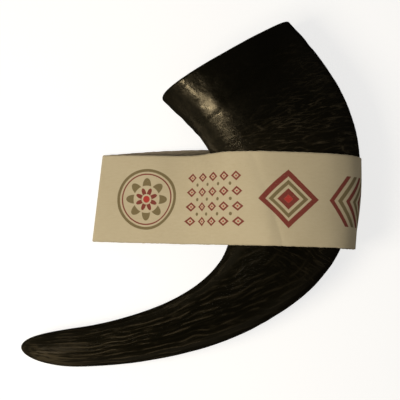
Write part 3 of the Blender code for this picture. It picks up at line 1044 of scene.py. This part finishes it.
def printed_card(colours):
    """Buff card, printed in three inks, worn along the fold and darker at its edges."""
    ink = Print("printed_card")
    inks = printed_inks(ink)

    fibres = ink.noise(ink.scaled(ink.flat, (0.35, 1.1, 1.0)), 1.0, 5.0, 0.68)
    clouds = ink.noise(ink.flat, 0.055, 3.0, 0.5)
    flecks = ink.ramp(ink.noise(ink.scaled(ink.flat, (1.2, 3.4, 1.0)), 1.0, 2.0, 0.5), 0.66, 0.74)
    card = tuple(colours.card)
    deeper = tuple(c * k for c, k in zip(card, (0.86, 0.83, 0.78)))
    cloudy = ink.math("MULTIPLY_ADD", clouds, 0.8, -0.55)
    tone = ink.math("MULTIPLY_ADD", fibres, 0.9, cloudy, clamp=True)
    base = ink.mix(tone, card, deeper)
    base = ink.mix(ink.math("MULTIPLY", flecks, 0.22), base, darker(card, 0.45))

    cover = ink.ramp(ink.noise(ink.flat, 1.7, 4.0, 0.7), 0.20, 0.46, 0.55, 0.94)
    worn = ink.ramp(ink.math("ABSOLUTE", ink.u), 0.3, 1.5, 0.15, 1.0)
    cover = ink.math("MULTIPLY", cover, worn)
    for where, tint in zip(inks, (colours.taupe, colours.dark_red, colours.bright_red)):
        base = ink.mix(ink.math("MULTIPLY", where, cover), base, tuple(tint))
    middle = SLEEVE_HEIGHT / 2
    from_middle = ink.math("ABSOLUTE", ink.math("SUBTRACT", ink.v, middle))
    edge = ink.ramp(from_middle, middle - 0.5, middle - 0.05, 0.0, 0.35)
    base = ink.mix(edge, base, darker(card, 0.7))

    inked = ink.math("MULTIPLY", ink.either(*inks), cover)
    roughness = ink.math("MULTIPLY_ADD", inked, -0.14, ink.ramp(fibres, 0.3, 0.7, 0.62, 0.74))
    normal = ink.bump(fibres, 0.00008, 0.7)
    return ink.surface(base_color=base, roughness=roughness, normal=normal)


def plain_card(name, tone):
    """The unprinted side, or the raw edge, of the card."""
    finish = Finish(name)
    flat = finish.attribute("flat")
    fibres = finish.noise(finish.scaled(flat, (0.4, 1.2, 1.0)), 1.0, 5.0, 0.68)
    base = finish.mix(finish.ramp(fibres, 0.3, 0.7), tuple(tone), darker(tone, 0.78))
    normal = finish.bump(fibres, 0.0001, 0.7)
    return finish.surface(base_color=base, roughness=0.86, normal=normal)


# ---- the studio -------------------------------------------------------------------------
def looking_at(item, target):
    """Turns a camera or lamp to face a point."""
    aim = Vector(target) - item.location
    item.rotation_mode = "QUATERNION"
    item.rotation_quaternion = aim.to_track_quat("-Z", "Y")


def add_camera():
    lens = bpy.data.cameras.new("photo_camera")
    lens.lens = CAMERA_LENS
    lens.sensor_width = CAMERA_SENSOR
    lens.clip_start, lens.clip_end = 0.01, 50.0
    camera = add_object("photo_camera", lens)
    camera.location = CAMERA_PLACE
    looking_at(camera, CAMERA_TARGET)
    bpy.context.scene.camera = camera


def add_lamp(name, light, location, watts, tint, target=LAMP_TARGET):
    light.energy = watts
    light.color = tint
    lamp = add_object(name, light)
    lamp.location = location
    looking_at(lamp, target)
    return lamp


def soft_lamp(name, location, size, watts, tint):
    """A broad lamp that the horn doesn't mirror."""
    light = bpy.data.lights.new(name, "AREA")
    light.size = size
    add_lamp(name, light, location, watts, tint).visible_glossy = False


def glint_lamp(watts):
    """A narrow lamp that only shows as the shine on the inner shoulder."""
    light = bpy.data.lights.new("glint_lamp", "SPOT")
    light.shadow_soft_size = GLINT_RADIUS
    light.spot_size = radians(GLINT_SPREAD)
    light.spot_blend = 1.0
    lamp = add_lamp("glint_lamp", light, GLINT_PLACE, watts, GLINT_TINT, GLINT_TARGET)
    lamp.visible_diffuse = False


def floor_finish(settings):
    finish = Finish("pale_floor")
    finish.surface(base_color=tuple(settings.floor), roughness=0.9, specular_ior_level=0.0)
    finish.surface(emission_color=(1.0, 1.0, 1.0), emission_strength=settings.floor_glow)
    return finish.material


def add_floor(settings):
    bm = bmesh.new()
    bmesh.ops.create_circle(bm, cap_ends=True, radius=FLOOR_RADIUS, segments=96)
    floor = add_mesh("floor", bm, [floor_finish(settings)])
    floor.visible_glossy = False
    floor.visible_diffuse = False


def add_world(settings):
    """Even light all round. The horn mirrors a glow near the horizon, stronger on the left."""
    world = bpy.data.worlds.new("studio")
    bpy.context.scene.world = world
    world.use_nodes = True
    sky = Nodes(world.node_tree)
    ray = sky.node("ShaderNodeLightPath", {}).outputs
    across, along, up = sky.split(sky.node("ShaderNodeTexCoord", {}).outputs["Generated"])
    from_key = sky.math("MULTIPLY_ADD", along, 0.7, across)
    glow = sky.times(sky.ramp(up, 0.0, 0.6, settings.rim_glow, 0.0),
                     sky.ramp(up, -0.45, 0.0, 0.2, 1.0), sky.ramp(from_key, -0.8, 0.4, 1.0, 0.20))
    far_floor = [settings.floor_glow + floor * settings.fill * tint
                 for floor, tint in zip(settings.floor, settings.fill_tint)]
    light = sky.light(settings.fill_tint, settings.fill)
    for seen, other in (("Is Glossy Ray", sky.light(settings.rim_tint, glow)),
                        ("Is Camera Ray", sky.light(far_floor, 1.0))):
        light = sky.node("ShaderNodeMixShader", {0: ray[seen], 1: light, 2: other}).outputs[0]
    sky.set(sky.tree.nodes["World Output"].inputs["Surface"], light)


# ---- operators --------------------------------------------------------------------------
class OBJECT_OT_buffalo_horn(bpy.types.Operator):
    """Build the horn: skin, sawn rim and hollow in one piece"""

    bl_idname = "object.buffalo_horn"
    bl_label = "Buffalo Horn"

    def execute(self, context):
        settings = context.scene.horn_settings
        rows, grain, layer, parts = horn_sheet(settings)
        count = len(rows)
        flat_grain = grain.reshape(-1, 3)
        ring, strand = (line.reshape(count, SIDES) for line in skin_lines(flat_grain))
        values = {
            "grain": grain,
            "fibre": wound(flat_grain).reshape(grain.shape),
            "ring": ring,
            "strand": strand,
            "side": np.tile(np.cos(ring_angles()), (count, 1)),
            "layer": np.repeat(layer[:, None], SIDES, axis=1),
        }
        bm = wrap_grid(rows, values, parts, closed=True)
        finishes = [horn_skin(settings), sawn_face(settings), hollow_wall(settings)]
        finished_piece("horn_body", bm, finishes, "horn")
        return {"FINISHED"}


class OBJECT_OT_paper_sleeve(bpy.types.Operator):
    """Build the printed card sleeve that is folded round the horn"""

    bl_idname = "object.paper_sleeve"
    bl_label = "Paper Sleeve"

    def execute(self, context):
        settings = context.scene.sleeve_settings
        rows, flat = sleeve_sheet(settings)
        bm = wrap_grid(rows, {"flat": flat}, [0] * len(rows), closed=False)
        finishes = [printed_card(settings), plain_card("card_inside", settings.inside),
                    plain_card("card_edge", darker(settings.card, 0.85))]
        sleeve = finished_piece("card_sleeve", bm, finishes, "paper_band")
        wall = sleeve.modifiers.new("card", "SOLIDIFY")
        wall.thickness = CARD * MM
        wall.offset = 0.0
        wall.material_offset = 1
        wall.material_offset_rim = 2
        return {"FINISHED"}


class SCENE_OT_horn_studio(bpy.types.Operator):
    """Set the camera, the pale floor and the soft lamps"""

    bl_idname = "scene.horn_studio"
    bl_label = "Horn Studio"

    def execute(self, context):
        settings = context.scene.studio_settings
        context.scene.view_settings.view_transform = "Standard"
        add_camera()
        add_floor(settings)
        add_world(settings)
        soft_lamp("key_lamp", KEY_PLACE, KEY_SIZE, settings.key_watts, KEY_TINT)
        glint_lamp(settings.glint_watts)
        soft_lamp("back_lamp", BACK_PLACE, BACK_SIZE, settings.back_watts, BACK_TINT)
        soft_lamp("side_lamp", SIDE_PLACE, BACK_SIZE, settings.side_watts, BACK_TINT)
        return {"FINISHED"}


class VIEW3D_PT_buffalo_horn(bpy.types.Panel):
    """Buttons and settings for the horn, its sleeve and the studio"""

    bl_idname = "VIEW3D_PT_buffalo_horn"
    bl_label = "Buffalo Horn"
    bl_space_type = "VIEW_3D"
    bl_region_type = "UI"
    bl_category = "Horn"

    def draw(self, context):
        scene = context.scene
        for operator, settings in (
            (OBJECT_OT_buffalo_horn, scene.horn_settings),
            (OBJECT_OT_paper_sleeve, scene.sleeve_settings),
            (SCENE_OT_horn_studio, scene.studio_settings),
        ):
            box = self.layout.box()
            box.operator(operator.bl_idname)
            for name in settings.__annotations__:
                box.prop(settings, name)


CLASSES = (
    HornSettings,
    SleeveSettings,
    StudioSettings,
    OBJECT_OT_buffalo_horn,
    OBJECT_OT_paper_sleeve,
    SCENE_OT_horn_studio,
    VIEW3D_PT_buffalo_horn,
)


def register():
    for item in CLASSES:
        bpy.utils.register_class(item)
    bpy.types.Scene.horn_settings = PointerProperty(type=HornSettings)
    bpy.types.Scene.sleeve_settings = PointerProperty(type=SleeveSettings)
    bpy.types.Scene.studio_settings = PointerProperty(type=StudioSettings)


def unregister():
    del bpy.types.Scene.studio_settings
    del bpy.types.Scene.sleeve_settings
    del bpy.types.Scene.horn_settings
    for item in reversed(CLASSES):
        bpy.utils.unregister_class(item)


def main():
    register()
    bpy.ops.scene.horn_studio()
    bpy.ops.object.buffalo_horn()
    bpy.ops.object.paper_sleeve()


if __name__ == "__main__":
    main()
